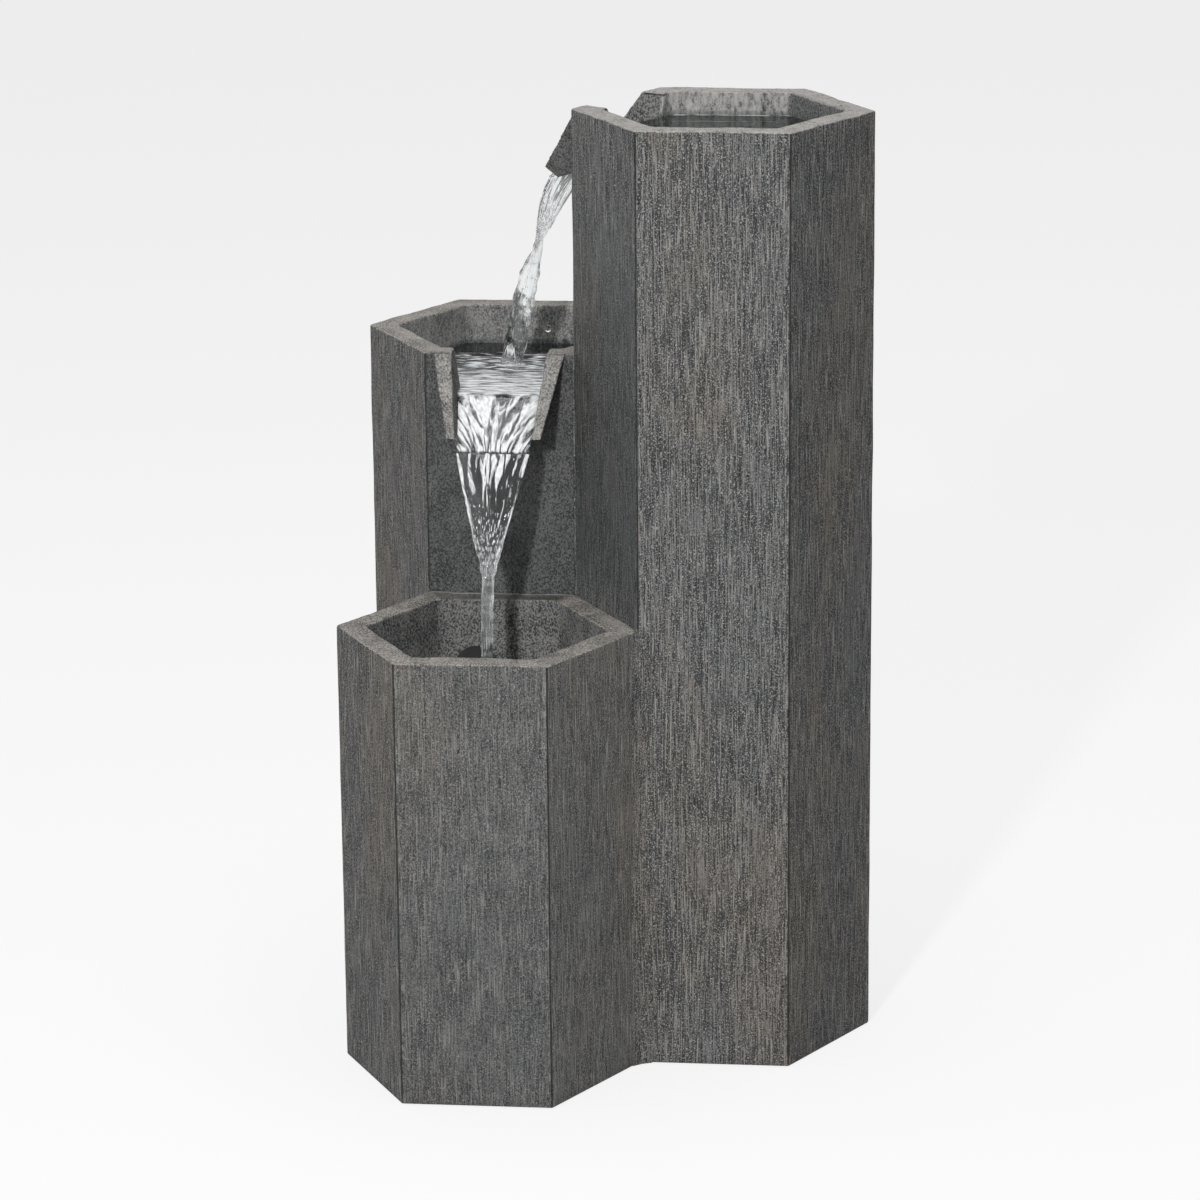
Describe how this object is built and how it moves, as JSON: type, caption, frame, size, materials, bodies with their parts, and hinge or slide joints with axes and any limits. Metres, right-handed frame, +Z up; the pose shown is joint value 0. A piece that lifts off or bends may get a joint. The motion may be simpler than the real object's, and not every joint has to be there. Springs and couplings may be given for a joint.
{
  "type": "tiered fountain",
  "caption": "Free-standing garden fountain of stepped hexagonal cast columns with bowls and chutes that pour water down into a basin, and a hidden pump and riser hose.",
  "frame": {"origin": "on the ground, under the middle of the plan's box", "axes": "+Z up; +X from the low and middle columns towards the tall one; +Y from the low column towards the middle one"},
  "size_m": [0.5074, 0.5022, 0.92],
  "materials": {
    "cast_stone": "combed cast cement, dark grey with lighter rims",
    "mortar": "cast cement mortar, dark grey",
    "black_rubber": "matt moulded rubber",
    "hose_vinyl": "smooth soft vinyl",
    "clamp_steel": "rolled stainless steel",
    "fitting_plastic": "moulded plastic",
    "pump_plastic": "moulded plastic, fine grain",
    "core_steel": "varnished steel sheets",
    "copper_wire": "enamelled copper wire",
    "shaft_ceramic": "ground ceramic",
    "ferrite": "sintered ferrite",
    "impeller_plastic": "moulded plastic",
    "screen_plastic": "moulded plastic, fine grain",
    "dial_plastic": "moulded plastic"
  },
  "bodies": {
    "fountain": {"low_column": "cast_stone", "middle_column": "cast_stone", "tall_column": "cast_stone", "reservoir_tub": "cast_stone", "middle_bowl": "cast_stone", "top_bowl": "cast_stone", "top_spout": "cast_stone", "middle_spout": "cast_stone", "corner_mortar": "mortar", "basin_sleeve": "black_rubber", "riser_sleeve": "black_rubber", "riser_hose": "hose_vinyl", "hose_clamps": "clamp_steel", "inlet_fitting": "fitting_plastic", "inlet_gasket": "black_rubber", "inlet_nut": "fitting_plastic", "drain_bush": "fitting_plastic", "cord_grommet": "black_rubber", "pump_housing": "pump_plastic", "pump_back_cover": "pump_plastic", "pump_gland": "black_rubber", "volute_seal": "black_rubber", "suction_cups": "black_rubber", "stator_core": "core_steel", "stator_coil": "copper_wire", "shaft_bushes": "black_rubber", "rotor_shaft": "shaft_ceramic", "volute_cover": "pump_plastic", "pump_screws": "clamp_steel"},
    "rotor": {"rotor_magnet": "ferrite", "impeller": "impeller_plastic"},
    "intake_screen": {"intake_screen": "screen_plastic"},
    "flow_dial": {"flow_dial": "dial_plastic"},
    "drain_plug": {"drain_plug": "black_rubber"}
  },
  "joints": [
    {"name": "rotor_spin", "type": "hinge", "parent": "fountain", "child": "rotor", "pos_m": [-0.13175, -0.0835, 0.07465], "axis": [0, 1, 0], "continuous": true},
    {"name": "screen_pull", "type": "slide", "parent": "fountain", "child": "intake_screen", "axis": [0, -1, 0], "range_m": [0, 0.03]},
    {"name": "dial_turn", "type": "hinge", "parent": "intake_screen", "child": "flow_dial", "pos_m": [-0.13175, -0.13, 0.07465], "axis": [0, -1, 0], "range_deg": [0, 90]},
    {"name": "plug_pull", "type": "slide", "parent": "fountain", "child": "drain_plug", "axis": [-0.866, 0.5, 0], "range_m": [0, 0.04]}
  ]
}
